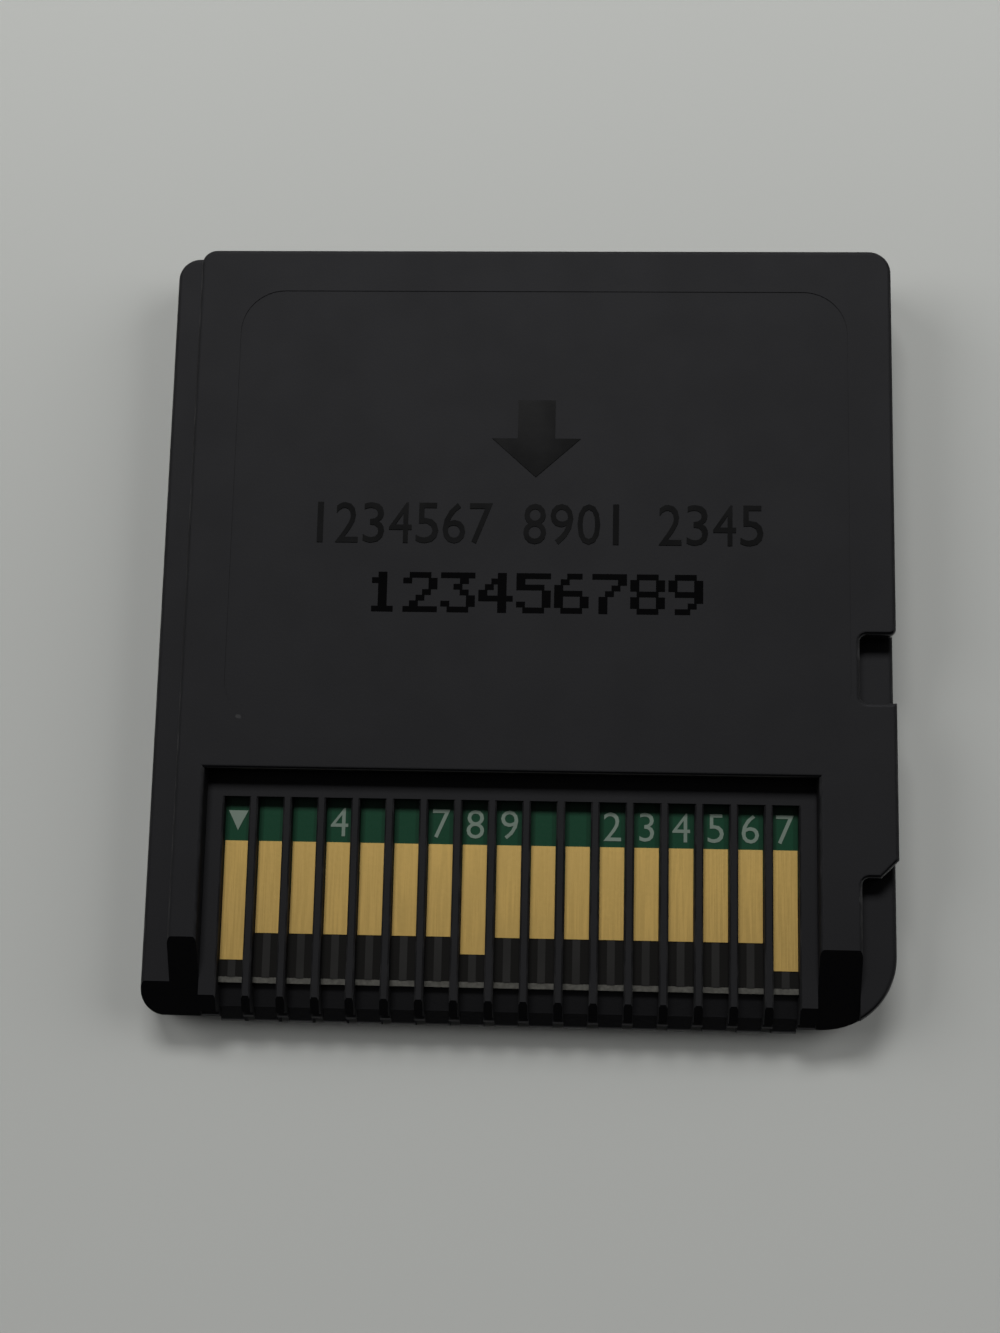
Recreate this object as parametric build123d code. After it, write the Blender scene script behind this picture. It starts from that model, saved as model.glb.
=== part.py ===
from build123d import *
import os

# A flat game card for a handheld console, in millimetres: two moulded half shells closed over
# a circuit board whose contacts show through slots in the rear half.
# The card lies on its label face at Z = 0, with its contact side up and its contact end towards -Y.
# The origin is the middle of its width and of its length, with the teeth at the contact end.

# Card
card_length = 35.0
card_thickness = 3.8
corner_radius = 1.0
keyed_corner_radius = 3.2
label_edge_radius = 0.4
seam_bevel = 0.08

# Across the card, from its left side to its right side
rail_width = 1.3
left_land = 1.3
window_margin = 1.325
contact_count = 17
contact_pitch = 1.52
right_land = 1.83
short_rail_width = 1.6

# Along the card, from its contact end
lip_depth = 1.48
rib_setback = 0.2
contact_setback = 1.0
long_contact_extra = 1.19
contact_length = 4.06
mask_strip = 1.94
window_sill = 1.11

# Up through the card, from its label face
front_floor = 0.6
chip_standoff = 0.05
rom_thickness = 0.8
save_thickness = 0.75
chip_headroom = 0.1
board_thickness = 0.65
rib_height = 0.6
rail_height = 2.75
seat_depth = 0.2

# Contact side of the rear shell
land_corner_radius = 0.7
notch_corner_radius = 0.3
land_edge_radius = 0.2
rail_edge_radius = 0.22
window_edge_radius = 0.18
panel_inset = 2.0
panel_depth = 0.03
panel_corner_radius = 2.0
lead_in_length = 3.4
lead_in_drop = 1.85
rib_lead_in_length = 0.92
rib_lead_in_drop = 0.5
short_rail_length = 6.47
short_rail_bevel = 0.8
latch_start = 14.13
latch_length = 3.0
latch_depth = 1.6

# Front shell, with the toothed lip at its contact end and the label's recess
tooth_reach = 0.2
tooth_width = 1.05
tooth_slope = 0.65
tooth_drop = 0.45
tooth_edge_radius = 0.25
label_width = 28.6
label_height = 24.4
label_top_margin = 2.2
label_recess = 0.2
label_corner_radius = 1.2

# How the shells close over the board
top_wall = 1.2
seat_width = 0.9
support_width = 1.0
relief_depth = 0.5
tongue_inset = 0.5
tongue_width = 0.45
tongue_height = 0.4
tongue_clearance = 0.05
post_diameter = 1.4
post_inset = 2.0
post_reach = 0.25
post_clearance = 0.1

# Circuit board and contacts
board_overhang = 0.6
board_clearance = 0.12
board_corner_radius = 0.6
board_bevel = 0.25
board_bevel_drop = 0.1
contact_width = 1.08
contact_thickness = 0.04
slot_clearance = 0.03
rib_bevel = 0.07
centre_contact = 8
centre_contact_extra = 0.75

# Chips and small parts on the board's underside
chip_side_gap = 1.0
chip_top_gap = 4.2
rom_width = 10.0
rom_length = 12.6
rom_leads_per_side = 14
rom_lead_pitch = 0.8
save_width = 3.9
save_length = 4.9
save_leads_per_side = 4
save_lead_pitch = 1.27
chip_edge_bevel = 0.15
lead_width = 0.3
lead_thickness = 0.12
lead_foot = 0.45
lead_reach = 0.95
chip_mark_diameter = 0.9
chip_mark_inset = 1.0
chip_mark_depth = 0.06
small_part_length = 1.0
small_part_width = 0.5
capacitor_height = 0.5
resistor_height = 0.35
small_part_pitch = 1.4
small_part_gap = 1.8
small_part_edge = 0.06
capacitor_count = 3
resistor_count = 2

# Places worked out from the sizes above
row_length = (contact_count - 1) * contact_pitch
window_width = row_length + 2 * window_margin
card_width = rail_width + left_land + window_width + right_land + short_rail_width
left_side = -card_width / 2
right_side = card_width / 2
land_left = left_side + rail_width
window_left = land_left + left_land
window_right = window_left + window_width
row_middle = (window_left + window_right) / 2
short_rail_left = window_right + right_land

tooth_end = -(card_length + tooth_reach) / 2
contact_end = tooth_end + tooth_reach
top_end = contact_end + card_length
board_edge = contact_end + lip_depth
long_contact_end = board_edge + contact_setback
contact_foot = long_contact_end + long_contact_extra
contact_head = contact_foot + contact_length
slot_head = contact_head + mask_strip
window_head = slot_head + window_sill
latch_foot = contact_end + latch_start
latch_head = latch_foot + latch_length
short_rail_head = contact_end + short_rail_length

board_bottom = front_floor + chip_headroom + max(rom_thickness, save_thickness) + chip_standoff
board_top = board_bottom + board_thickness
comb_top = board_top + rib_height
seam = board_bottom + seat_depth
relief_top = board_top + relief_depth

board_left = window_left - board_overhang
board_right = window_right + board_overhang
board_head = top_end - top_wall - board_clearance
slot_width = contact_width + 2 * slot_clearance

# Room that a cut leaves past the face that it opens
past = 1.0


def rectangle(x0, x1, y0, y1):
    return Pos((x0 + x1) / 2, (y0 + y1) / 2) * Rectangle(x1 - x0, y1 - y0)


def rounded_rectangle(x0, x1, y0, y1, radius):
    return Pos((x0 + x1) / 2, (y0 + y1) / 2) * RectangleRounded(x1 - x0, y1 - y0, radius)


def raise_up(sketch, z0, z1):
    return extrude(Pos(0, 0, z0) * sketch, z1 - z0)


def run_along_x(profile, x0, x1):
    return extrude(Plane.YZ.offset(x0) * profile, x1 - x0)


def round_corner(sketch, x, y, radius):
    return fillet(sketch.vertices().sort_by_distance((x, y, 0))[0], radius)


def along_row(shape):
    """Copies of a shape, one at each contact's place in the row."""
    places = GridLocations(contact_pitch, 1, contact_count, 1)
    return [Pos(row_middle, 0) * place * shape for place in places]


def card_outline(inset):
    """The card's outline, drawn in by an inset, with one large corner that keys it in its slot."""
    x0 = left_side + inset
    x1 = right_side - inset
    y0 = contact_end + inset
    y1 = top_end - inset
    small = max(corner_radius - inset, tongue_clearance)
    outline = rectangle(x0, x1, y0, y1)
    outline = round_corner(outline, x1, y0, keyed_corner_radius - inset)
    for x, y in ((x0, y0), (x0, y1), (x1, y1)):
        outline = round_corner(outline, x, y, small)
    return outline


def land_outline():
    """The full-height part of the contact side, less the rails and the latch notch."""
    outline = Polygon(
        (land_left, contact_end),
        (short_rail_left, contact_end),
        (short_rail_left, short_rail_head),
        (right_side - short_rail_bevel, short_rail_head),
        (right_side, short_rail_head + short_rail_bevel),
        (right_side, latch_foot),
        (right_side - latch_depth, latch_foot),
        (right_side - latch_depth, latch_head),
        (right_side, latch_head),
        (right_side, top_end),
        (land_left, top_end),
    )
    outline = round_corner(outline, right_side, top_end, corner_radius)
    outline = round_corner(outline, land_left, top_end, land_corner_radius)
    for x, y in (
        (short_rail_left, short_rail_head),
        (right_side - latch_depth, latch_foot),
        (right_side - latch_depth, latch_head),
        (right_side, latch_head),
    ):
        outline = round_corner(outline, x, y, notch_corner_radius)
    return outline


def tongue_ring(clearance):
    """The closing tongue along both sides and the top, drawn thicker by a clearance for its groove."""
    outer = card_outline(tongue_inset - clearance)
    inner = card_outline(tongue_inset + tongue_width + clearance)
    return (outer - inner) & rectangle(left_side, right_side, window_head - clearance, top_end)


def board_pocket(z0, z1):
    return raise_up(
        rectangle(
            board_left - board_clearance,
            board_right + board_clearance,
            board_edge - board_clearance,
            board_head + board_clearance,
        ),
        z0,
        z1,
    )


def inside_board_rim(y0):
    """The board's outline above a line, drawn in by the rim that carries and clamps it."""
    return rectangle(board_left + seat_width, board_right - seat_width, y0, board_head - seat_width)


def post_places():
    y = board_head - post_inset
    return [Pos(board_left + post_inset, y), Pos(board_right - post_inset, y)]


def sloped_cut(x0, x1, top, length, drop):
    """What a slope down to the contact end takes off a stretch of the card's width."""
    slope_start = contact_end + length
    slope_fall = drop / length
    profile = Polygon(
        (slope_start + past, top + past * slope_fall),
        (slope_start + past, card_thickness + 2 * past),
        (contact_end - past, card_thickness + 2 * past),
        (contact_end - past, top - drop - past * slope_fall),
    )
    return run_along_x(profile, x0, x1)


def lead_in_slopes():
    """The slopes of both lands, taking the left rail's end with them, and the short slope of the ribs."""
    return [
        sloped_cut(left_side - past, window_left, card_thickness, lead_in_length, lead_in_drop),
        sloped_cut(window_left, window_right, comb_top, rib_lead_in_length, rib_lead_in_drop),
        sloped_cut(window_right, short_rail_left, card_thickness, lead_in_length, lead_in_drop),
    ]


def window_and_slots():
    """The sunk contact window, its slots, and the set-back of the ribs at the contact end."""
    window = raise_up(
        rectangle(window_left, window_right, contact_end - past, window_head),
        comb_top,
        card_thickness + past,
    )
    half = slot_width / 2
    mouth = half + rib_bevel
    profile = Polygon(
        (-half, seam),
        (half, seam),
        (half, comb_top - rib_bevel),
        (mouth, comb_top),
        (mouth, comb_top + past),
        (-mouth, comb_top + past),
        (-mouth, comb_top),
        (-half, comb_top - rib_bevel),
    )
    slot = extrude(Plane.XZ.offset(-slot_head) * profile, slot_head - contact_end + past)
    rib_ends = raise_up(
        rectangle(window_left, window_right, contact_end - past, contact_end + rib_setback),
        seam,
        comb_top + past,
    )
    return [window, rib_ends] + along_row(slot)


def window_edges(shell):
    """The edges where the window breaks the contact face."""
    edges = shell.edges().filter_by_position(Axis.Z, card_thickness, card_thickness)
    sides = [
        edge
        for edge in edges.filter_by(Axis.Y)
        if min(abs(edge.center().X - window_left), abs(edge.center().X - window_right)) < slot_clearance
    ]
    head = [edge for edge in edges.filter_by(Axis.X) if abs(edge.center().Y - window_head) < slot_clearance]
    return sides + head


def rear_shell():
    base = raise_up(card_outline(0), seam, rail_height)
    base = chamfer(base.faces().sort_by(Axis.Z)[0].edges(), seam_bevel)
    base = fillet(base.faces().sort_by(Axis.Z)[-1].edges(), rail_edge_radius)
    land = raise_up(land_outline(), rail_height - rail_edge_radius, card_thickness)
    land = fillet(land.faces().sort_by(Axis.Z)[-1].edges(), land_edge_radius)
    shell = base + land
    panel = rounded_rectangle(
        land_left + panel_inset,
        right_side - panel_inset,
        window_head + panel_inset,
        top_end - panel_inset,
        panel_corner_radius,
    )
    shell -= raise_up(panel, card_thickness - panel_depth, card_thickness + past)
    shell -= window_and_slots()
    shell -= lead_in_slopes()
    shell = fillet(window_edges(shell), window_edge_radius)
    shell -= board_pocket(seam, board_top)
    shell -= raise_up(inside_board_rim(window_head + seat_width), seam, relief_top)
    groove_top = seam + tongue_height + tongue_clearance
    return shell - raise_up(tongue_ring(tongue_clearance), seam, groove_top)


def along_tooth(profile):
    return run_along_x(profile, -tooth_width / 2, tooth_width / 2)


def lip_tooth():
    """One tooth of the lip, standing past the contact end under a slot, with a slope down to its front."""
    profile = Polygon(
        (tooth_end, label_edge_radius),
        (tooth_end + tooth_slope, label_edge_radius),
        (tooth_end + tooth_slope, seam),
        (tooth_end, seam - tooth_drop),
    )
    return along_tooth(round_corner(profile, tooth_end, seam - tooth_drop, tooth_edge_radius))


def front_shell():
    shell = raise_up(card_outline(0), 0, seam)
    shell = fillet(shell.faces().sort_by(Axis.Z)[0].edges(), label_edge_radius)
    shell = chamfer(shell.faces().sort_by(Axis.Z)[-1].edges(), seam_bevel)
    label_head = top_end - label_top_margin
    label = rounded_rectangle(
        -label_width / 2, label_width / 2, label_head - label_height, label_head, label_corner_radius
    )
    shell -= raise_up(label, 0, label_recess)
    shell -= board_pocket(board_bottom, seam)
    shell -= raise_up(inside_board_rim(board_edge + seat_width), front_floor, seam)
    contact_middle = (contact_foot + contact_head) / 2
    support = inside_board_rim(board_edge) & rectangle(
        board_left, board_right, contact_middle - support_width / 2, contact_middle + support_width / 2
    )
    shell += raise_up(support, front_floor, board_bottom)
    tooth_room = rectangle(tooth_end, tooth_end + tooth_slope, label_edge_radius, seam)
    shell -= along_row(along_tooth(tooth_room))
    shell += along_row(lip_tooth())
    post = raise_up(Circle(post_diameter / 2), front_floor, board_top + post_reach)
    shell += [place * post for place in post_places()]
    return shell + raise_up(tongue_ring(0), seam, seam + tongue_height)


def circuit_board():
    outline = rounded_rectangle(board_left, board_right, board_edge, board_head, board_corner_radius)
    outline -= [place * Circle(post_diameter / 2 + post_clearance) for place in post_places()]
    board = raise_up(outline, board_bottom, board_top)
    top_edges = board.edges().filter_by(Axis.X).filter_by_position(Axis.Z, board_top, board_top)
    top_face = board.faces().sort_by(Axis.Z)[-1]
    return chamfer(top_edges.sort_by(Axis.Y)[0], board_bevel, board_bevel_drop, reference=top_face)


def contact(number):
    foot = contact_foot
    if number in (1, contact_count):
        foot = long_contact_end
    if number == centre_contact:
        foot = contact_foot - centre_contact_extra
    x = row_middle + (number - (contact_count + 1) / 2) * contact_pitch
    pad = rectangle(x - contact_width / 2, x + contact_width / 2, foot, contact_head)
    return raise_up(pad, board_top, board_top + contact_thickness)


def chip_body(width, length, thickness):
    """A moulded package under the board, centred on the origin, with a pin mark by one corner."""
    z1 = board_bottom - chip_standoff
    z0 = z1 - thickness
    body = raise_up(Rectangle(width, length), z0, z1)
    body = chamfer(body.faces().sort_by(Axis.Z)[0].edges(), chip_edge_bevel)
    mark_place = Pos(chip_mark_inset - width / 2, length / 2 - chip_mark_inset)
    return body - raise_up(mark_place * Circle(chip_mark_diameter / 2), z0, z0 + chip_mark_depth)


def chip_leads(width, thickness, per_side, pitch):
    """Bent legs down both sides of a package: out of its middle, up, and flat on the board."""
    inner = width / 2
    outer = inner + lead_reach
    knee = outer - lead_foot
    top = board_bottom
    middle = board_bottom - chip_standoff - thickness / 2
    profile = Polygon(
        (inner, middle),
        (inner, middle - lead_thickness),
        (knee, middle - lead_thickness),
        (knee + lead_thickness / 2, top - lead_thickness),
        (outer, top - lead_thickness),
        (outer, top),
        (knee - lead_thickness / 2, top),
        (knee - lead_thickness, middle),
    )
    lead = extrude(Plane.XZ * profile, lead_width / 2, both=True)
    row = [place * lead for place in GridLocations(1, pitch, 1, per_side)]
    return Compound(row + [Rot(0, 0, 180) * each for each in row])


def small_part(height):
    body = raise_up(Rectangle(small_part_width, small_part_length), board_bottom - height, board_bottom)
    return chamfer(body.faces().sort_by(Axis.Z)[0].edges(), small_part_edge)


chip_head = board_head - chip_top_gap
rom_middle = board_left + seat_width + chip_side_gap + lead_reach + rom_width / 2
rom_place = Pos(rom_middle, chip_head - rom_length / 2)
save_middle = board_right - seat_width - chip_side_gap - lead_reach - save_width / 2
save_place = Pos(save_middle, chip_head - save_length / 2)
small_part_count = capacitor_count + resistor_count
small_row = chip_head - save_length - small_part_gap


def small_part_place(index):
    return Pos(save_middle + (index - (small_part_count - 1) / 2) * small_part_pitch, small_row)


nodes = {
    "rear_shell": rear_shell(),
    "front_shell": front_shell(),
    "circuit_board": circuit_board(),
    "rom_chip": rom_place * chip_body(rom_width, rom_length, rom_thickness),
    "rom_leads": rom_place * chip_leads(rom_width, rom_thickness, rom_leads_per_side, rom_lead_pitch),
    "save_chip": save_place * chip_body(save_width, save_length, save_thickness),
    "save_leads": save_place * chip_leads(save_width, save_thickness, save_leads_per_side, save_lead_pitch),
}
for number in range(1, contact_count + 1):
    nodes[f"contact_{number:02d}"] = contact(number)
for number in range(1, capacitor_count + 1):
    nodes[f"capacitor_{number}"] = small_part_place(number - 1) * small_part(capacitor_height)
for number in range(1, resistor_count + 1):
    place = small_part_place(capacitor_count + number - 1)
    nodes[f"resistor_{number}"] = place * small_part(resistor_height)

os.makedirs("parts", exist_ok=True)
for name, shape in nodes.items():
    export_step(shape, f"parts/{name}.step")
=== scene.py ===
"""The looks of a small game card: its finishes, printed marks, floor, light and camera."""

import math
import re

import bmesh
import bpy
from bpy.props import FloatProperty, FloatVectorProperty, PointerProperty, StringProperty
from mathutils import Matrix, Vector


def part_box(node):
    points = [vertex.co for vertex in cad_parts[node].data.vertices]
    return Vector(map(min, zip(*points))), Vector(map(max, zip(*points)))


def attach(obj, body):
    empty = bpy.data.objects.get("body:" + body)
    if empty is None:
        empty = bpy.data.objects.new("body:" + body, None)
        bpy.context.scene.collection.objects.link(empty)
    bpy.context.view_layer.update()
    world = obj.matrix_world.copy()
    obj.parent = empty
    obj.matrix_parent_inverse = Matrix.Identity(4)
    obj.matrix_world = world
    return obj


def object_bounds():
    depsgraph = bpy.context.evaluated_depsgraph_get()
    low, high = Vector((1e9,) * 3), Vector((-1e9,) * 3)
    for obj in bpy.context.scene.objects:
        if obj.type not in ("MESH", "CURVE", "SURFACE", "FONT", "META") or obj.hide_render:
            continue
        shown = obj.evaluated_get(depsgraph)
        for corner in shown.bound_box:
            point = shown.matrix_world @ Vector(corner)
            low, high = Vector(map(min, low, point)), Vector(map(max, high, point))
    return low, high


bl_info = {
    "name": "Game card looks",
    "version": (1, 0, 0),
    "blender": (4, 5, 0),
    "location": "View3D > Sidebar > Game card",
    "description": "Gives a packed game card its finishes, its printed marks and a plain stage",
    "category": "Object",
}

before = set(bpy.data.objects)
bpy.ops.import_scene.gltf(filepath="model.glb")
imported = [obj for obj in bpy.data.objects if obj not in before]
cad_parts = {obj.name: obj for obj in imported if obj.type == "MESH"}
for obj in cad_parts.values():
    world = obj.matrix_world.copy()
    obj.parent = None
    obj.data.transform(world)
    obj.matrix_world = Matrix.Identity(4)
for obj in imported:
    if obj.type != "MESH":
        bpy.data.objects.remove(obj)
CAD_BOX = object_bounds()

MM = 0.001
BODY = "root"
CONTACTS = sorted(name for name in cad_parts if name.startswith("contact_"))
SHELLS = ("rear_shell", "front_shell")
CARD_LOW, CARD_HIGH = CAD_BOX
BOARD_LOW, BOARD_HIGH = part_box("circuit_board")
PAD_LOW, PAD_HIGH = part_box(CONTACTS[1])
SUNK = 0.002 * MM

# A five by seven dot face for plain digits, one row after another from the top.
DOT_FACE = {
    "0": "01110 10001 10011 10101 11001 10001 01110",
    "1": "00100 01100 00100 00100 00100 00100 01110",
    "2": "01110 10001 00001 00010 00100 01000 11111",
    "3": "11111 00010 00100 00010 00001 10001 01110",
    "4": "00010 00110 01010 10010 11111 00010 00010",
    "5": "11111 10000 11110 00001 00001 10001 01110",
    "6": "00110 01000 10000 11110 10001 10001 01110",
    "7": "11111 00001 00010 00100 01000 01000 01000",
    "8": "01110 10001 10001 01110 10001 10001 01110",
    "9": "01110 10001 10001 01111 00001 00010 01100",
}

# Worn spots and two painted glints on the shells: middle and reach in millimetres, and strength.
WEAR_AND_GLINT_SPOTS = (
    ((14.86, -11.7, 3.7), (0.13, 0.45, 0.3), 0.3),
    ((14.86, -12.6, 3.7), (0.1, 0.9, 0.3), 0.12),
    ((14.86, -1.1, 3.75), (0.1, 0.28, 0.2), 0.4),
    # The next two are painted glints, where the rounded top corners of the latch notch and the short rail catch the
    # light.
    ((16.42, -0.5, 3.0), (0.14, 0.22, 0.2), 0.8),
    ((16.42, -10.45, 3.0), (0.14, 0.22, 0.2), 0.8),
    ((-12.5, -4.3, 3.75), (0.15, 0.12, 0.2), 0.4),
)

# How far the rounded edges take on the paler tone, which is handling wear and partly a painted highlight where the
# edges catch the light, and how much smoother the lead-in is than the rest.
EDGE_WEAR_AND_HIGHLIGHT = 0.22
LEAD_IN_POLISH = 0.48

# The part of the slow mottle's range that tones and roughness follow.
MOTTLE = (0.3, 0.7)

# On the board: half the width of the paler green over copper as a share of the contacts' pitch, whose darker sides
# also stand in for painted shade from the ribs, half the soft border of the green coat in millimetres, and how level
# a face is at the start and at the end of its turn into a cut edge.
COPPER_AND_SHADE_EDGE = (0.26, 0.22)
COAT_BORDER = 0.05
CUT_TURN = (0.985, 0.95)

# Contacts whose slot shows a digit on the board, by their place in the row.
NUMBERED_CONTACTS = (4, 7, 8, 9, 12, 13, 14, 15, 16, 17)

# Weight of those digits, width of the arrow's stem as a share of its head, and the middle dot of the dot face.
LEGEND_WEIGHT = -0.004
ARROW_STEM = 0.42
MIDDLE_COLUMN, MIDDLE_ROW = 2, 3

# The floor: its size in metres, how much paler a painted light falloff makes it away from the contact end, and in
# millimetres where it does so along the card and where it runs into the room.
FLOOR_RADIUS = 1.5
FLOOR_SIDES = 64
PAINTED_LIGHT_GAIN = 1.21
PAINTED_LIGHT_RUN = (-5.0, 40.0)
FADE_RUN = (80.0, 350.0)

# The room, by the depth and height of a direction: the turn from its dark to its bright side, the turn of the
# low band's rim and foot from front to back, their heights at both ends, and the heights of the horizon.
ROOM_TONE = (0.8, 0.8, 0.8, 1.0)
SIDE_TURN = (-0.6, 0.3)
BAND_TURN = (-0.5, -0.1)
BAND_RIM = (0.36, 0.7)
BAND_FOOT = (0.18, 0.3)
HORIZON_RUN = (0.12, 0.02)

# How near and how far the camera sees, in metres.
CLIP_NEAR = 5 * MM
CLIP_FAR = 10.0

# Kinds of sockets in the shared effects.
FLOAT = "NodeSocketFloat"
VECTOR = "NodeSocketVector"


def length(name, description, default):
    return FloatProperty(name=name, description=description, default=default, min=0.0, unit="LENGTH", precision=6)


def colour(name, description, default):
    return FloatVectorProperty(
        name=name, description=description, default=default, min=0.0, max=1.0, size=3, subtype="COLOR"
    )


class CardMarks(bpy.types.PropertyGroup):
    """Sizes of the marks on the board and on the contact side."""

    digit_height: length("Board digit height", "Height of a digit beside a contact", 1.27 * MM)
    digit_width: length("Board digit width", "Width of a digit beside a contact", 0.78 * MM)
    digit_gap: length("Board digit gap", "From a contact to the digit above it", 0.28 * MM)
    pin_mark: length("Pin mark", "Side of the triangle at the first contact", 0.88 * MM)
    legend_thickness: length("Legend thickness", "Thickness of the ink on the board", 0.02 * MM)
    stub_width: length("Plating stub width", "Width of the trace from a contact to the board's edge", 0.34 * MM)
    stub_thickness: length("Plating stub thickness", "Thickness of that trace", 0.02 * MM)
    board_bevel: length("Board bevel", "Width of the bevel at the board's edge", 0.25 * MM)
    marks_middle: length("Middle of the marks", "From the card's middle across to the marks", 0.5 * MM)
    arrow_width: length("Arrow width", "Width of the insertion arrow", 4.0 * MM)
    arrow_height: length("Arrow height", "Length of the insertion arrow", 3.6 * MM)
    arrow_place: length("Arrow place", "From the card's middle up to the arrow's middle", 8.6 * MM)
    arrow_thickness: length("Arrow thickness", "How far the polished arrow stands proud", 0.03 * MM)
    relief_row: StringProperty(
        name="Raised row", description="Plain digits raised on the shell", default="1234567 8901 2345"
    )
    relief_height: length("Raised digit height", "Height of the raised digits", 1.86 * MM)
    relief_width: length("Raised digit width", "Width of the raised digits", 1.02 * MM)
    relief_pitch: length("Raised digit pitch", "Distance between the raised digits", 1.21 * MM)
    relief_place: length("Raised row place", "From the card's middle up to the raised row's middle", 4.63 * MM)
    relief_thickness: length("Raised row thickness", "How far the raised digits stand proud", 0.03 * MM)
    printed_row: StringProperty(name="Printed row", description="Plain digits of the row", default="123456789")
    dot_across: length("Dot pitch across", "Distance between printed dots across the card", 0.285 * MM)
    dot_along: length("Dot pitch along", "Distance between printed dots along the card", 0.26 * MM)
    dot_width: length("Dot width", "Width of a printed dot, which runs into its neighbours", 0.4 * MM)
    row_pitch: length("Printed digit pitch", "Distance between the printed digits", 1.69 * MM)
    row_place: length("Printed row place", "From the card's middle up to the printed row's middle", 1.45 * MM)
    row_thickness: length("Printed row thickness", "Thickness of the ink on the contact side", 0.012 * MM)


class CardColours(bpy.types.PropertyGroup):
    """Colours of the finishes."""

    plastic: colour("Plastic", "Moulded shells", (0.0020, 0.0020, 0.0023))
    # The paler plastic gives rubbing wear, and also painted highlights on the edges and the two painted glints.
    plastic_wear_and_highlight: colour("Rubbed plastic", "Shell edges where they are rubbed", (0.06, 0.06, 0.06))
    # The plain mask colour also gives painted shade from the ribs at the slots' sides; the paler one lies over the
    # copper in their middle.
    mask: colour("Board mask", "Green coat on the board", (0.0049, 0.0372, 0.0178))
    mask_over_copper_unshaded: colour("Mask over copper", "Green coat where copper lies under it", (0.0068, 0.0507, 0.0245))
    laminate: colour("Laminate", "Bare board", (0.0030, 0.0025, 0.0018))
    cut_fibre: colour("Cut edge", "Bevelled edge of the board", (0.22, 0.215, 0.19))
    gold: colour("Gold", "Contact plating", (0.62, 0.423, 0.137))
    gold_worn: colour("Worn gold", "Contact plating where it is rubbed", (0.505, 0.356, 0.13))
    stub: colour("Plating stub", "Dull trace from a contact to the edge", (0.007, 0.0063, 0.0052))
    legend: colour("Legend ink", "Marks on the board", (0.182, 0.243, 0.196))
    print_ink: colour("Print ink", "Printed row on the contact side", (0.0008, 0.0008, 0.001))
    floor: colour("Floor", "Paper under the card", (0.279, 0.2835, 0.272))


class CardStage(bpy.types.PropertyGroup):
    """Camera and light."""

    camera_place: FloatVectorProperty(
        name="Camera place",
        description="Where the camera stands",
        default=(3.234 * MM, -16.064 * MM, 84.405 * MM),
        subtype="TRANSLATION",
        unit="LENGTH",
    )
    camera_aim: FloatVectorProperty(
        name="Camera aim",
        description="Point at the middle of the picture",
        default=(-0.919 * MM, -1.89 * MM, 3.8 * MM),
        subtype="TRANSLATION",
        unit="LENGTH",
    )
    camera_roll: FloatProperty(
        name="Camera roll", description="Turn of the picture", default=math.radians(1.263), subtype="ANGLE"
    )
    lens: FloatProperty(name="Lens", description="Focal length in millimetres", default=50.0)
    key_place: FloatVectorProperty(
        name="Key light place",
        description="Where the soft light hangs",
        default=(-0.03, 0.31, 0.40),
        subtype="TRANSLATION",
        unit="LENGTH",
    )
    key_width: length("Key light width", "Size of the soft light across the card", 0.22)
    key_depth: length("Key light depth", "Size of the soft light along the card", 0.12)
    key_power: FloatProperty(name="Key light", description="Power of the soft light", default=1.84)
    panel_spread: length("Panel spread", "From the card across to each of the two panels that light the floor", 0.45)
    panel_back: length("Panel setback", "From the card back to those panels", 0.15)
    panel_height: length("Panel height", "Height of those panels", 0.32)
    panel_size: length("Panel size", "Side of those panels", 0.4)
    panel_power: FloatProperty(name="Panel power", description="Power of each of those panels", default=2.2)
    low_depth: length("Low light depth", "From the floor down to the light under the card", 0.3)
    low_size: length("Low light size", "Side of the light under the card", 1.5)
    low_power: FloatProperty(name="Low light", description="Power of the light under the card", default=22.0)
    room_bright: FloatProperty(name="Bright side", description="Level of the room's bright side", default=0.12)
    room_dark: FloatProperty(name="Dark side", description="Level of the room's dark side", default=0.02)
    room_low: FloatProperty(name="Low level", description="Level of the room low down", default=0.2)
    room_horizon: FloatProperty(name="Horizon", description="Level added at the horizon", default=0.15)


def feed(tree, node, inputs):
    """Sets or links a node's inputs, by name or number."""
    for name, value in inputs.items():
        if isinstance(value, bpy.types.NodeSocket):
            tree.links.new(value, node.inputs[name])
        else:
            node.inputs[name].default_value = value


def place(tree, kind, inputs=None, **settings):
    """Adds a node, applies its settings and feeds its inputs."""
    made = tree.nodes.new(kind)
    for name, value in settings.items():
        setattr(made, name, value)
    feed(tree, made, inputs or {})
    return made


def maths(tree, operation, first, second=0.0, third=0.0):
    inputs = {0: first, 1: second, 2: third}
    return place(tree, "ShaderNodeMath", inputs, operation=operation).outputs[0]


def mix_colours(tree, share, first, second):
    return place(tree, "ShaderNodeMix", {0: share, 6: first, 7: second}, data_type="RGBA").outputs[2]


def spread(tree, value, low, high, to_low=0.0, to_high=1.0):
    """Maps a value from one range to another with soft ends."""
    inputs = {"Value": value, "From Min": low, "From Max": high, "To Min": to_low, "To Max": to_high}
    return place(tree, "ShaderNodeMapRange", inputs, interpolation_type="SMOOTHSTEP").outputs[0]


def millimetres(tree):
    """The place on the card, in millimetres."""
    where = place(tree, "ShaderNodeTexCoord").outputs["Object"]
    return place(tree, "ShaderNodeVectorMath", {0: where, "Scale": 1 / MM}, operation="SCALE").outputs[0]


def rgba(tone, share=1.0):
    """A colour for a socket, made darker or paler by a share."""
    return (*(share * Vector(tone)), 1.0)


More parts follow.
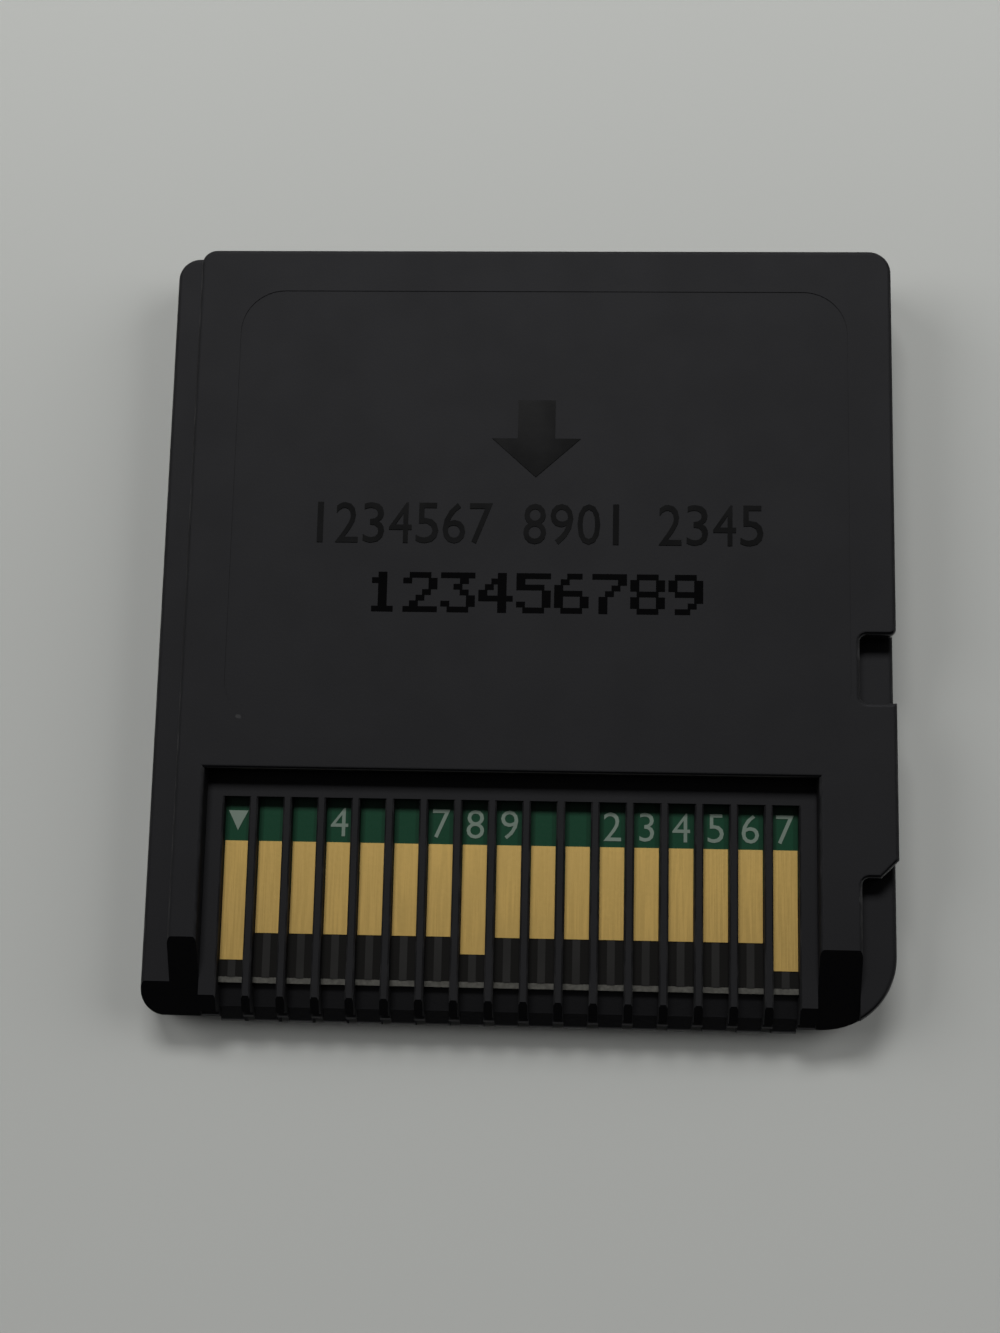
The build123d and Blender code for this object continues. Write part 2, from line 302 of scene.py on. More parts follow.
def new_group(name, inputs, outputs):
    """A shader node group with named inputs, given as kind and default, and named outputs."""
    group = bpy.data.node_groups.new(name, "ShaderNodeTree")
    for label, (kind, default) in inputs.items():
        socket = group.interface.new_socket(name=label, in_out="INPUT", socket_type=kind)
        socket.default_value = default
    for label, kind in outputs.items():
        group.interface.new_socket(name=label, in_out="OUTPUT", socket_type=kind)
    given = group.nodes.new("NodeGroupInput").outputs
    return group, given


def close_group(group, results):
    place(group, "NodeGroupOutput", results)
    return group


def grain_group():
    """Fine spark-eroded grain of a moulding tool, and the slow mottle that goes with it."""
    group, given = new_group(
        "moulded_grain", {"Grains per mm": (FLOAT, 9.0)}, {"Height": FLOAT, "Mottle": FLOAT}
    )
    where = millimetres(group)
    fine = place(group, "ShaderNodeTexNoise", {"Vector": where, "Scale": given[0], "Detail": 3.0})
    pits = place(group, "ShaderNodeTexVoronoi", {"Vector": where, "Scale": given[0]}, feature="F1")
    slow = place(group, "ShaderNodeTexNoise", {"Vector": where, "Scale": 0.35, "Detail": 4.0})
    height = maths(group, "MULTIPLY_ADD", pits.outputs["Distance"], 0.5, fine.outputs[0])
    return close_group(group, {"Height": height, "Mottle": slow.outputs[0]})


def rub_and_highlight_group():
    """Paler rounded edges between level and upright faces, broken up by noise: handling wear, and partly a painted
    highlight where the edges catch the light.
    """
    group, given = new_group("rubbed_and_highlit_edges", {"Breaks per mm": (FLOAT, 1.2)}, {"Mask": FLOAT})
    normal = place(group, "ShaderNodeNewGeometry").outputs["Normal"]
    turn = place(group, "ShaderNodeSeparateXYZ", {0: normal}).outputs
    levelness = maths(group, "ABSOLUTE", turn["Z"])
    not_level = spread(group, levelness, 0.9, 0.8)
    not_upright = spread(group, levelness, 0.15, 0.45)
    not_lead_in = spread(group, turn["Y"], -0.5, -0.2)
    edge = maths(group, "MULTIPLY", maths(group, "MULTIPLY", not_level, not_upright), not_lead_in)
    noise = place(group, "ShaderNodeTexNoise", {"Vector": millimetres(group), "Scale": given[0], "Detail": 5.0})
    broken = spread(group, noise.outputs[0], 0.42, 0.68)
    return close_group(group, {"Mask": maths(group, "MULTIPLY", edge, broken)})


def lead_in_group():
    """Tool-polished lead-in: what leans towards the contact end, and in part the low lip in the slots."""
    group, given = new_group(
        "polished_lead_in",
        {"Lean": (FLOAT, 0.3), "Lip height": (FLOAT, 1.8), "Lip share": (FLOAT, 0.85)},
        {"Mask": FLOAT},
    )
    normal = place(group, "ShaderNodeNewGeometry").outputs["Normal"]
    turn = place(group, "ShaderNodeSeparateXYZ", {0: normal}).outputs
    start = maths(group, "SUBTRACT", given["Lean"], 0.15)
    sloped = spread(group, maths(group, "MULTIPLY", turn["Y"], -1.0), start, given["Lean"])
    height = place(group, "ShaderNodeSeparateXYZ", {0: millimetres(group)}).outputs["Z"]
    low = maths(group, "LESS_THAN", height, given["Lip height"])
    level = maths(group, "MULTIPLY", maths(group, "GREATER_THAN", turn["Z"], 0.9), low)
    lip = maths(group, "MULTIPLY", level, given["Lip share"])
    return close_group(group, {"Mask": maths(group, "MAXIMUM", sloped, lip)})


def scratch_group():
    """Fine scratches along the card, as sliding in and out of a slot leaves them."""
    group, given = new_group(
        "sliding_scratches", {"Across per mm": (FLOAT, 14.0), "Along per mm": (FLOAT, 0.25)}, {"Mask": FLOAT}
    )
    stretch = place(group, "ShaderNodeCombineXYZ", {"X": given[0], "Y": given[1], "Z": given[0]}).outputs[0]
    where = place(
        group, "ShaderNodeVectorMath", {0: millimetres(group), 1: stretch}, operation="MULTIPLY"
    ).outputs[0]
    noise = place(group, "ShaderNodeTexNoise", {"Vector": where, "Scale": 1.0, "Detail": 3.0})
    return close_group(group, {"Mask": spread(group, noise.outputs[0], 0.35, 0.7)})


def patch_group():
    """A paler patch round a point, in millimetres, with a broken border, used for worn spots and for painted glints.
    """
    group, given = new_group(
        "wear_and_glint_patch",
        {"Middle": (VECTOR, (0, 0, 0)), "Reach": (VECTOR, (1, 1, 1)), "Breaks per mm": (FLOAT, 5.0)},
        {"Mask": FLOAT},
    )
    where = millimetres(group)
    off = place(group, "ShaderNodeVectorMath", {0: where, 1: given[0]}, operation="SUBTRACT").outputs[0]
    share = place(group, "ShaderNodeVectorMath", {0: off, 1: given[1]}, operation="DIVIDE").outputs[0]
    away = place(group, "ShaderNodeVectorMath", {0: share}, operation="LENGTH").outputs["Value"]
    noise = place(group, "ShaderNodeTexNoise", {"Vector": where, "Scale": given[2], "Detail": 4.0})
    ragged = maths(group, "MULTIPLY_ADD", noise.outputs[0], 1.2, maths(group, "SUBTRACT", away, 0.6))
    return close_group(group, {"Mask": spread(group, ragged, 1.05, 0.6)})


def room_group():
    """Level of the room in a direction: dim in front of the card, paler low down and palest at the horizon."""
    levels = ("Bright", "Dark", "Low", "Horizon")
    inputs = {"Towards": (VECTOR, (0, 0, 1)), **{label: (FLOAT, 0.0) for label in levels}}
    group, given = new_group("room_level", inputs, {"Level": FLOAT})
    towards = place(group, "ShaderNodeSeparateXYZ", {0: given["Towards"]}).outputs
    depth, height = towards["Y"], towards["Z"]
    upper = spread(group, depth, *SIDE_TURN, given["Dark"], given["Bright"])
    rim = spread(group, depth, *BAND_TURN, *BAND_RIM)
    foot = spread(group, depth, *BAND_TURN, *BAND_FOOT)
    lower = spread(group, height, rim, foot, 0.0, given["Low"])
    horizon = spread(group, height, *HORIZON_RUN, 0.0, given["Horizon"])
    level = maths(group, "ADD", maths(group, "ADD", upper, lower), horizon)
    return close_group(group, {"Level": level})


GROUP_MAKERS = {
    "moulded_grain": grain_group,
    "rubbed_and_highlit_edges": rub_and_highlight_group,
    "polished_lead_in": lead_in_group,
    "sliding_scratches": scratch_group,
    "wear_and_glint_patch": patch_group,
    "room_level": room_group,
}


def effect(tree, name, **inputs):
    """Places a shared effect in a tree, with its own values."""
    group = bpy.data.node_groups.get(name) or GROUP_MAKERS[name]()
    named = {label.replace("_", " "): value for label, value in inputs.items()}
    return place(tree, "ShaderNodeGroup", named, node_tree=group).outputs


def room_level(tree, stage, towards):
    """The room's level in a direction, with the levels of the stage."""
    return effect(
        tree,
        "room_level",
        Towards=towards,
        Bright=stage.room_bright,
        Dark=stage.room_dark,
        Low=stage.room_low,
        Horizon=stage.room_horizon,
    )["Level"]


def new_finish(name):
    """A material with an empty tree, its shader and its output."""
    finish = bpy.data.materials.new(name)
    finish.use_nodes = True
    tree = finish.node_tree
    tree.nodes.clear()
    shader = tree.nodes.new("ShaderNodeBsdfPrincipled")
    place(tree, "ShaderNodeOutputMaterial", {"Surface": shader.outputs[0]})
    return finish, tree, shader


def bump(tree, height, depth, strength):
    inputs = {"Height": height, "Distance": depth, "Strength": strength}
    return place(tree, "ShaderNodeBump", inputs).outputs[0]


def mottled(tree, grain, low, high):
    """A value that follows the slow mottle of a grain from one end to another."""
    return spread(tree, grain["Mottle"], *MOTTLE, low, high)


def grained_finish(name, tones, rough, grains, depth=0.004 * MM, strength=0.4, specular=0.5, metal=0.0):
    """A finish with a fine grain, whose tone and roughness follow the grain's mottle."""
    finish, tree, shader = new_finish(name)
    grain = effect(tree, "moulded_grain", Grains_per_mm=grains)
    feed(
        tree,
        shader,
        {
            "Base Color": mix_colours(tree, grain["Mottle"], *tones),
            "Metallic": metal,
            "Roughness": mottled(tree, grain, *rough),
            "Specular IOR Level": specular,
            "Normal": bump(tree, grain["Height"], depth, strength),
        },
    )
    return finish


def moulded_plastic(colours):
    """Black shell plastic with a fine grain, paler along its rounded edges (rubbing wear and partly a painted
    highlight), at a few worn spots, and at two painted glints.
    """
    finish, tree, shader = new_finish("moulded_plastic")
    grain = effect(tree, "moulded_grain", Grains_per_mm=9.0)
    # Paler edges: rubbing wear, and partly a painted highlight where the edges catch the light.
    rubbed = effect(tree, "rubbed_and_highlit_edges", Breaks_per_mm=0.9)
    wear_and_highlight = maths(tree, "MULTIPLY", rubbed["Mask"], EDGE_WEAR_AND_HIGHLIGHT)
    # Worn spots, and two painted glints at the right notch corners, all in the paler tone.
    for middle, reach, strength in WEAR_AND_GLINT_SPOTS:
        spot = effect(tree, "wear_and_glint_patch", Middle=middle, Reach=reach, Breaks_per_mm=4.0)
        wear_and_highlight = maths(tree, "MAXIMUM", wear_and_highlight, maths(tree, "MULTIPLY", spot["Mask"], strength))
    base = mix_colours(tree, mottled(tree, grain, 0.0, 0.5), rgba(colours.plastic), rgba(colours.plastic, 0.7))
    matt = mottled(tree, grain, 0.71, 0.73)
    polish = maths(tree, "MULTIPLY", effect(tree, "polished_lead_in")["Mask"], LEAD_IN_POLISH)
    feed(
        tree,
        shader,
        {
            "Base Color": mix_colours(tree, wear_and_highlight, base, rgba(colours.plastic_wear_and_highlight)),
            "Roughness": maths(tree, "SUBTRACT", matt, polish),
            "Specular IOR Level": 0.38,
            "Specular Tint": rgba((0.95, 0.95, 1.0)),
            "Normal": bump(tree, grain["Height"], 0.006 * MM, 0.4),
        },
    )
    return finish


def polished_plastic(colours):
    """The same plastic where the tool was polished."""
    tones = (rgba(colours.plastic, 0.5), rgba(colours.plastic))
    return grained_finish("polished_plastic", tones, (0.15, 0.19), grains=3.0, strength=0.2, specular=0.45)


def printed_ink(colours):
    """Thin black ink on the contact side."""
    tones = (rgba(colours.print_ink), rgba(colours.plastic, 0.5))
    return grained_finish("printed_ink", tones, (0.5, 0.62), grains=12.0, specular=0.02)


def masked_laminate(colours):
    """The board: green coat behind the contacts, bare laminate ahead of them, and pale cut edges."""
    finish, tree, shader = new_finish("masked_laminate")
    where = millimetres(tree)
    along = place(tree, "ShaderNodeSeparateXYZ", {0: where}).outputs
    weave = place(
        tree, "ShaderNodeTexWave", {"Vector": where, "Scale": 2.2, "Distortion": 1.5}, bands_direction="Y"
    )
    grain = effect(tree, "moulded_grain", Grains_per_mm=6.0)
    pitch = (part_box(CONTACTS[2])[0].x - PAD_LOW.x) / MM
    middle = (PAD_LOW.x + PAD_HIGH.x) / 2 / MM
    turn = maths(tree, "DIVIDE", maths(tree, "SUBTRACT", along["X"], middle - pitch / 2), pitch)
    across = maths(tree, "ABSOLUTE", maths(tree, "SUBTRACT", maths(tree, "FRACT", turn), 0.5))
    # Paler green in each slot's middle over the copper; the darker green at the slot's sides is painted shade from
    # the ribs.
    copper = spread(tree, across, *COPPER_AND_SHADE_EDGE)
    green = mix_colours(tree, copper, rgba(colours.mask), rgba(colours.mask_over_copper_unshaded))
    bare = mix_colours(tree, weave.outputs[1], rgba(colours.laminate), rgba(colours.laminate, 0.7))
    mask_edge = (PAD_LOW.y + PAD_HIGH.y) / 2 / MM
    coated = spread(tree, along["Y"], mask_edge - COAT_BORDER, mask_edge + COAT_BORDER)
    normal = place(tree, "ShaderNodeNewGeometry").outputs["True Normal"]
    upward = place(tree, "ShaderNodeSeparateXYZ", {0: normal}).outputs["Z"]
    cut = spread(tree, maths(tree, "ABSOLUTE", upward), *CUT_TURN)
    fibre = mix_colours(tree, grain["Height"], rgba(colours.cut_fibre), rgba(colours.cut_fibre, 0.5))
    feed(
        tree,
        shader,
        {
            "Base Color": mix_colours(tree, cut, mix_colours(tree, coated, bare, green), fibre),
            "Roughness": spread(tree, coated, 0.0, 1.0, 0.8, 0.35),
            "Specular IOR Level": 0.22,
            "Normal": bump(tree, maths(tree, "ADD", grain["Height"], copper), 0.01 * MM, 0.3),
        },
    )
    return finish


def rubbed_gold(colours):
    """Gold plating with fine sliding scratches and a slow change of tone."""
    finish, tree, shader = new_finish("rubbed_gold")
    scratch = effect(tree, "sliding_scratches", Across_per_mm=16.0, Along_per_mm=0.35)
    grain = effect(tree, "moulded_grain", Grains_per_mm=5.0)
    worn = maths(tree, "MULTIPLY", scratch["Mask"], spread(tree, grain["Mottle"], 0.35, 0.65, 0.1, 0.5))
    feed(
        tree,
        shader,
        {
            "Base Color": mix_colours(tree, worn, rgba(colours.gold), rgba(colours.gold_worn)),
            "Metallic": 1.0,
            "Roughness": spread(tree, scratch["Mask"], 0.0, 1.0, 0.46, 0.56),
            "Normal": bump(tree, maths(tree, "ADD", scratch["Mask"], grain["Height"]), 0.003 * MM, 0.5),
        },
    )
    return finish


def dull_plating(colours):
    """The thin trace that carried the plating current."""
    tones = (rgba(colours.stub), rgba(colours.laminate))
    return grained_finish("dull_plating", tones, (0.6, 0.7), grains=7.0, depth=0.005 * MM, specular=0.35)


def legend_ink(colours):
    """Pale ink of the marks on the board."""
    tones = (rgba(colours.legend), rgba(colours.legend, 0.75))
    return grained_finish("legend_ink", tones, (0.55, 0.7), grains=10.0, depth=0.005 * MM)


def inner_part(name, tone, metal, rough):
    """A plain finish for the sealed parts on the board's underside."""
    tones = (rgba(tone), rgba(tone, 0.8))
    return grained_finish(name, tones, (rough - 0.05, rough + 0.05), grains=8.0, metal=metal)


def floor_paper(colours, stage):
    """Pale paper under the card, with a painted light falloff that makes it paler away from the contact end, running
    into the room, clear from below.
    """
    finish, tree, shader = new_finish("floor_paper")
    where = millimetres(tree)
    along = place(tree, "ShaderNodeSeparateXYZ", {0: where}).outputs["Y"]
    # Painted light: the paper turns paler towards the back, as if lit more by the nearer lamp there.
    tone = mix_colours(tree, spread(tree, along, *PAINTED_LIGHT_RUN), rgba(colours.floor), rgba(colours.floor, PAINTED_LIGHT_GAIN))
    feed(tree, shader, {"Base Color": tone, "Roughness": 0.85, "Specular IOR Level": 0.2})
    away = place(tree, "ShaderNodeVectorMath", {0: where}, operation="LENGTH").outputs["Value"]
    path = place(tree, "ShaderNodeLightPath").outputs
    seen = maths(tree, "ADD", path["Is Camera Ray"], path["Is Glossy Ray"])
    seen = maths(tree, "ADD", seen, path["Is Transmission Ray"])
    faded = maths(tree, "MULTIPLY", spread(tree, away, *FADE_RUN), seen)
    towards = place(tree, "ShaderNodeVectorMath", {0: where}, operation="NORMALIZE").outputs[0]
    given = {"Color": ROOM_TONE, "Strength": room_level(tree, stage, towards)}
    far = place(tree, "ShaderNodeEmission", given).outputs[0]
    paper = place(tree, "ShaderNodeMixShader", {0: faded, 1: shader.outputs[0], 2: far}).outputs[0]
    behind = place(tree, "ShaderNodeNewGeometry").outputs["Backfacing"]
    clear = place(tree, "ShaderNodeBsdfTransparent").outputs[0]
    both = place(tree, "ShaderNodeMixShader", {0: behind, 1: paper, 2: clear}).outputs[0]
    tree.links.new(both, tree.nodes["Material Output"].inputs["Surface"])
    return finish


def dress(node, finish):
    """Gives a solid of the frame its finish."""
    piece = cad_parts[node]
    if not piece.material_slots:
        piece.data.materials.append(finish)
    for holder in piece.material_slots:
        holder.material = finish


def add_piece(name, form, finish):
    """Makes a piece of the card from a bmesh, riding on its body."""
    mesh = bpy.data.meshes.new(name)
    bmesh.ops.recalc_face_normals(form, faces=form.faces)
    form.to_mesh(mesh)
    form.free()
    mesh.materials.append(finish)
    piece = bpy.data.objects.new(name, mesh)
    bpy.context.scene.collection.objects.link(piece)
    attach(piece, BODY)


def plate(form, outline, foot, head):
    """A flat plate of an outline between two heights."""
    low = [form.verts.new((x, y, foot)) for x, y in outline]
    high = [form.verts.new((x, y, head)) for x, y in outline]
    form.faces.new(low[::-1])
    form.faces.new(high)
    for index, corner in enumerate(low):
        after = (index + 1) % len(low)
        form.faces.new((corner, low[after], high[after], high[index]))


def rectangle(x0, x1, y0, y1):
    return ((x0, y0), (x1, y0), (x1, y1), (x0, y1))


def shell_height(x, y):
    """How high the contact side of the rear shell stands at a place."""
    hit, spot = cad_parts["rear_shell"].ray_cast((x, y, CARD_HIGH.z + MM), (0, 0, -1))[:2]
    if not hit:
        raise RuntimeError("no shell under a mark")
    return spot.z


def digit_form(form, digit, width, height, middle, foot, head, weight=0.0):
    """Adds one digit, fitted to a width and a height, standing on a point, and made bolder by a weight."""
    curve = bpy.data.curves.new("digit", "FONT")
    curve.body = digit
    # Any depth will do here, since both ends get their heights below.
    curve.extrude = 0.5
    curve.offset = weight
    curve.resolution_u = 3
    holder = bpy.data.objects.new("digit", curve)
    bpy.context.scene.collection.objects.link(holder)
    shaped = holder.evaluated_get(bpy.context.evaluated_depsgraph_get())
    mesh = bpy.data.meshes.new_from_object(shaped)
    xs = [corner.co.x for corner in mesh.vertices]
    ys = [corner.co.y for corner in mesh.vertices]
    scale_y = height / (max(ys) - min(ys))
    scale_x = min(scale_y, width / (max(xs) - min(xs)))
    for corner in mesh.vertices:
        corner.co.x = middle[0] + (corner.co.x - (max(xs) + min(xs)) / 2) * scale_x
        corner.co.y = middle[1] + (corner.co.y - min(ys)) * scale_y
        corner.co.z = head if corner.co.z > 0 else foot
    form.from_mesh(mesh)
    bpy.data.objects.remove(holder)
    bpy.data.curves.remove(curve)
    bpy.data.meshes.remove(mesh)


class CARD_OT_finish_shells(bpy.types.Operator):
    """Give both shells their moulded plastic"""

    bl_idname = "card.finish_shells"
    bl_label = "Finish shells"

    def execute(self, context):
        finish = moulded_plastic(context.scene.card_colours)
        for node in SHELLS:
            dress(node, finish)
        return {"FINISHED"}


class CARD_OT_finish_board(bpy.types.Operator):
    """Give the circuit board its coat and bare edge"""

    bl_idname = "card.finish_board"
    bl_label = "Finish board"

    def execute(self, context):
        dress("circuit_board", masked_laminate(context.scene.card_colours))
        return {"FINISHED"}


class CARD_OT_finish_contacts(bpy.types.Operator):
    """Give the contacts their gold"""

    bl_idname = "card.finish_contacts"
    bl_label = "Finish contacts"

    def execute(self, context):
        finish = rubbed_gold(context.scene.card_colours)
        for node in CONTACTS:
            dress(node, finish)
        return {"FINISHED"}


class CARD_OT_finish_inner_parts(bpy.types.Operator):
    """Give the sealed chips, leads and small parts their finishes"""

    bl_idname = "card.finish_inner_parts"
    bl_label = "Finish inner parts"

    def execute(self, context):
        finishes = {
            "_chip": inner_part("chip_moulding", (0.015, 0.015, 0.016), 0.0, 0.6),
            "_leads": inner_part("tinned_leads", (0.62, 0.62, 0.60), 1.0, 0.35),
            "capacitor": inner_part("capacitor_ceramic", (0.30, 0.22, 0.14), 0.0, 0.5),
            "resistor": inner_part("resistor_film", (0.02, 0.02, 0.022), 0.0, 0.45),
        }
        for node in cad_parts:
            for part, finish in finishes.items():
                if part in node:
                    dress(node, finish)
        return {"FINISHED"}


class CARD_OT_add_plating_stubs(bpy.types.Operator):
    """Add the thin traces from the contacts to the board's edge"""

    bl_idname = "card.add_plating_stubs"
    bl_label = "Add plating stubs"

    def execute(self, context):
        marks = context.scene.card_marks
        form = bmesh.new()
        edge = BOARD_LOW.y + marks.board_bevel
        for node in CONTACTS:
            low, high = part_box(node)
            middle = (low.x + high.x) / 2
            outline = rectangle(middle - marks.stub_width / 2, middle + marks.stub_width / 2, edge, low.y)
            plate(form, outline, BOARD_HIGH.z - SUNK, BOARD_HIGH.z + marks.stub_thickness)
        add_piece("plating_stubs", form, dull_plating(context.scene.card_colours))
        return {"FINISHED"}


class CARD_OT_add_board_legend(bpy.types.Operator):
    """Add the pin mark and the plain digits printed on the board"""

    bl_idname = "card.add_board_legend"
    bl_label = "Add board legend"

    def execute(self, context):
        marks = context.scene.card_marks
        foot = BOARD_HIGH.z - SUNK
        head = BOARD_HIGH.z + marks.legend_thickness
        form = bmesh.new()
        low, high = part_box(CONTACTS[0])
        x = (low.x + high.x) / 2
        half = marks.pin_mark / 2
        middle_y = high.y + marks.digit_gap + marks.digit_height / 2
        plate(form, ((x, middle_y - half), (x + half, middle_y + half), (x - half, middle_y + half)), foot, head)
        for number in NUMBERED_CONTACTS:
            low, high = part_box(CONTACTS[number - 1])
            middle = ((low.x + high.x) / 2, high.y + marks.digit_gap)
            digit = str(number % 10)
            digit_form(form, digit, marks.digit_width, marks.digit_height, middle, foot, head, LEGEND_WEIGHT)
        add_piece("board_legend", form, legend_ink(context.scene.card_colours))
        return {"FINISHED"}


class CARD_OT_add_insertion_arrow(bpy.types.Operator):
    """Add the polished arrow that points at the contact end"""

    bl_idname = "card.add_insertion_arrow"
    bl_label = "Add insertion arrow"

    def execute(self, context):
        marks = context.scene.card_marks
        half = marks.arrow_width / 2
        stem = half * ARROW_STEM
        top = marks.arrow_place + marks.arrow_height / 2
        shoulder = marks.arrow_place
        tip = marks.arrow_place - marks.arrow_height / 2
        middle = marks.marks_middle
        outline = (
            (middle - stem, top),
            (middle - stem, shoulder),
            (middle - half, shoulder),
            (middle, tip),
            (middle + half, shoulder),
            (middle + stem, shoulder),
            (middle + stem, top),
        )
        surface = shell_height(middle, shoulder)
        form = bmesh.new()
        plate(form, outline, surface - SUNK, surface + marks.arrow_thickness)
        add_piece("insertion_arrow", form, polished_plastic(context.scene.card_colours))
        return {"FINISHED"}


class CARD_OT_add_raised_row(bpy.types.Operator):
    """Add the row of polished plain digits raised on the contact side"""

    bl_idname = "card.add_raised_row"
    bl_label = "Add raised row"

    def execute(self, context):
        marks = context.scene.card_marks
        surface = shell_height(marks.marks_middle, marks.relief_place)
        foot = surface - SUNK
        head = surface + marks.relief_thickness
        form = bmesh.new()
        start = marks.marks_middle - (len(marks.relief_row) - 1) / 2 * marks.relief_pitch
        for place_in_row, digit in enumerate(marks.relief_row):
            if digit.isdigit():
                middle = (start + place_in_row * marks.relief_pitch, marks.relief_place - marks.relief_height / 2)
                digit_form(form, digit, marks.relief_width, marks.relief_height, middle, foot, head)
        add_piece("raised_row", form, bpy.data.materials["polished_plastic"])
        return {"FINISHED"}


class CARD_OT_add_printed_row(bpy.types.Operator):
    """Add the row of plain digits printed in dots on the contact side"""

    bl_idname = "card.add_printed_row"
    bl_label = "Add printed row"

    def execute(self, context):
        marks = context.scene.card_marks
        surface = shell_height(marks.marks_middle, marks.row_place)
        half_width = marks.dot_width / 2
        half_height = marks.dot_along / 2
        form = bmesh.new()
        start = marks.marks_middle - (len(marks.printed_row) - 1) / 2 * marks.row_pitch
        for place_in_row, digit in enumerate(marks.printed_row):
            middle = start + place_in_row * marks.row_pitch
            for down, row in enumerate(DOT_FACE[digit].split()):
                y = marks.row_place + (MIDDLE_ROW - down) * marks.dot_along
                for run in re.finditer("1+", row):
                    first, last = run.start() - MIDDLE_COLUMN, run.end() - 1 - MIDDLE_COLUMN
                    x0 = middle + first * marks.dot_across - half_width
                    x1 = middle + last * marks.dot_across + half_width
                    outline = rectangle(x0, x1, y - half_height, y + half_height)
                    plate(form, outline, surface - SUNK, surface + marks.row_thickness)
        add_piece("printed_row", form, printed_ink(context.scene.card_colours))
        return {"FINISHED"}


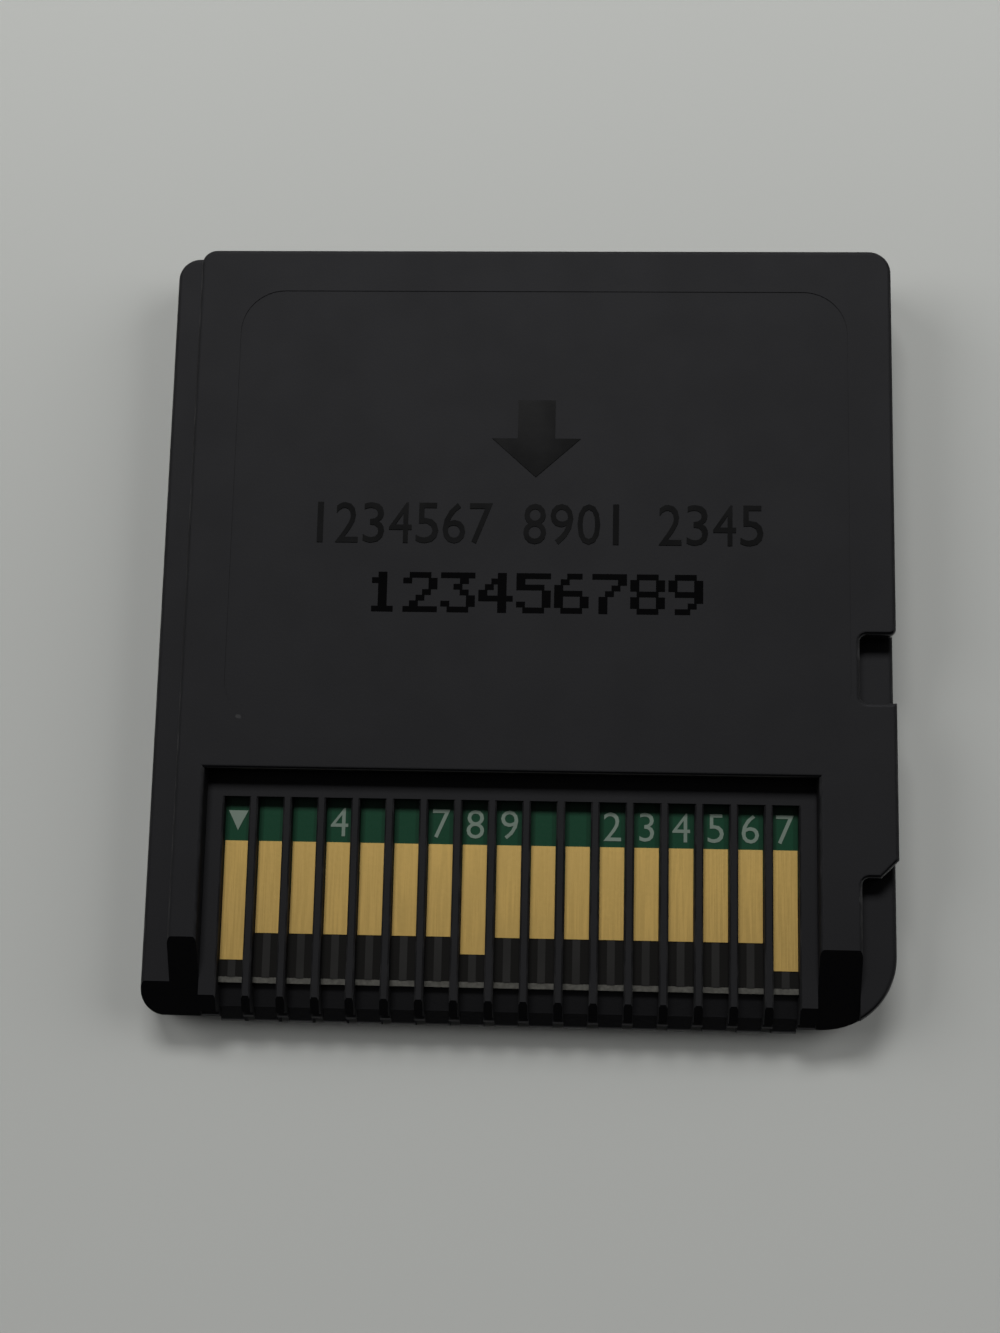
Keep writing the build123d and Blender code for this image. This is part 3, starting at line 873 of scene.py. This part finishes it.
class CARD_OT_set_stage(bpy.types.Operator):
    """Set the floor, the light and the camera"""

    bl_idname = "card.set_stage"
    bl_label = "Set stage"

    def add_floor(self, context):
        """A round sheet under the card."""
        form = bmesh.new()
        bmesh.ops.create_circle(form, cap_ends=True, segments=FLOOR_SIDES, radius=FLOOR_RADIUS)
        mesh = bpy.data.meshes.new("floor")
        form.to_mesh(mesh)
        form.free()
        mesh.materials.append(floor_paper(context.scene.card_colours, context.scene.card_stage))
        floor = bpy.data.objects.new("floor", mesh)
        floor.location.z = CARD_LOW.z - SUNK
        context.scene.collection.objects.link(floor)
        return floor

    def hang_light(self, context, name, where, width, depth, power):
        """A rectangular light that faces the card."""
        lamp = bpy.data.lights.new(name, "AREA")
        lamp.energy = power
        lamp.shape = "RECTANGLE"
        lamp.size = width
        lamp.size_y = depth
        holder = bpy.data.objects.new(name, lamp)
        holder.location = where
        holder.rotation_mode = "QUATERNION"
        holder.rotation_quaternion = (-Vector(where)).to_track_quat("-Z", "Y")
        context.scene.collection.objects.link(holder)
        return holder

    def add_lights(self, context, floor):
        """The soft light, two panels for the floor alone, and a light that reaches the card through the floor."""
        stage = context.scene.card_stage
        self.hang_light(context, "key_light", stage.key_place, stage.key_width, stage.key_depth, stage.key_power)
        below = (0.0, 0.0, -stage.low_depth)
        low = self.hang_light(context, "low_light", below, stage.low_size, stage.low_size, stage.low_power)
        passed = bpy.data.collections.new("passed_by_low_light")
        passed.objects.link(floor)
        passed.collection_objects[0].light_linking.link_state = "EXCLUDE"
        low.light_linking.blocker_collection = passed
        low.visible_glossy = False
        lit = bpy.data.collections.new("lit_by_panels")
        lit.objects.link(floor)
        for name, side in (("left_panel", -1), ("right_panel", 1)):
            where = (side * stage.panel_spread, stage.panel_back, stage.panel_height)
            panel = self.hang_light(context, name, where, stage.panel_size, stage.panel_size, stage.panel_power)
            panel.light_linking.receiver_collection = lit

    def add_room(self, context):
        """The room round the card, which its plastic and gold mirror."""
        world = bpy.data.worlds.new("room")
        world.use_nodes = True
        tree = world.node_tree
        tree.nodes.clear()
        towards = place(tree, "ShaderNodeTexCoord").outputs["Generated"]
        given = {"Color": ROOM_TONE, "Strength": room_level(tree, context.scene.card_stage, towards)}
        room = place(tree, "ShaderNodeBackground", given).outputs[0]
        place(tree, "ShaderNodeOutputWorld", {"Surface": room})
        context.scene.world = world

    def add_camera(self, context):
        """The camera, turned about its line of sight by the roll."""
        stage = context.scene.card_stage
        camera = bpy.data.cameras.new("camera")
        camera.lens = stage.lens
        camera.clip_start = CLIP_NEAR
        camera.clip_end = CLIP_FAR
        holder = bpy.data.objects.new("camera", camera)
        forward = (Vector(stage.camera_aim) - Vector(stage.camera_place)).normalized()
        up_hint = Vector((-math.sin(stage.camera_roll), math.cos(stage.camera_roll), 0.0))
        right = forward.cross(up_hint).normalized()
        up = right.cross(forward)
        turned = Matrix((right, up, -forward)).transposed()
        holder.matrix_world = Matrix.Translation(stage.camera_place) @ turned.to_4x4()
        context.scene.collection.objects.link(holder)
        context.scene.camera = holder

    def execute(self, context):
        floor = self.add_floor(context)
        self.add_lights(context, floor)
        self.add_room(context)
        self.add_camera(context)
        context.scene.view_settings.view_transform = "Standard"
        return {"FINISHED"}


class CARD_PT_looks(bpy.types.Panel):
    """Lists the card's finishing steps and their values"""

    bl_label = "Game card"
    bl_idname = "CARD_PT_looks"
    bl_space_type = "VIEW_3D"
    bl_region_type = "UI"
    bl_category = "Game card"

    def draw(self, context):
        for operator in OPERATORS:
            self.layout.operator(operator.bl_idname)
        for values in (context.scene.card_marks, context.scene.card_colours, context.scene.card_stage):
            box = self.layout.box()
            for name in values.__annotations__:
                box.prop(values, name)


GROUPS = (CardMarks, CardColours, CardStage)
OPERATORS = (
    CARD_OT_finish_shells,
    CARD_OT_finish_board,
    CARD_OT_finish_contacts,
    CARD_OT_finish_inner_parts,
    CARD_OT_add_plating_stubs,
    CARD_OT_add_board_legend,
    CARD_OT_add_insertion_arrow,
    CARD_OT_add_raised_row,
    CARD_OT_add_printed_row,
    CARD_OT_set_stage,
)
CLASSES = (*GROUPS, *OPERATORS, CARD_PT_looks)


def register():
    for each in CLASSES:
        bpy.utils.register_class(each)
    bpy.types.Scene.card_marks = PointerProperty(type=CardMarks)
    bpy.types.Scene.card_colours = PointerProperty(type=CardColours)
    bpy.types.Scene.card_stage = PointerProperty(type=CardStage)


def unregister():
    del bpy.types.Scene.card_stage
    del bpy.types.Scene.card_colours
    del bpy.types.Scene.card_marks
    for each in reversed(CLASSES):
        bpy.utils.unregister_class(each)


def main():
    register()
    bpy.ops.card.finish_shells()
    bpy.ops.card.finish_board()
    bpy.ops.card.finish_contacts()
    bpy.ops.card.finish_inner_parts()
    bpy.ops.card.add_plating_stubs()
    bpy.ops.card.add_board_legend()
    bpy.ops.card.add_insertion_arrow()
    bpy.ops.card.add_raised_row()
    bpy.ops.card.add_printed_row()
    bpy.ops.card.set_stage()


if __name__ == "__main__":
    main()
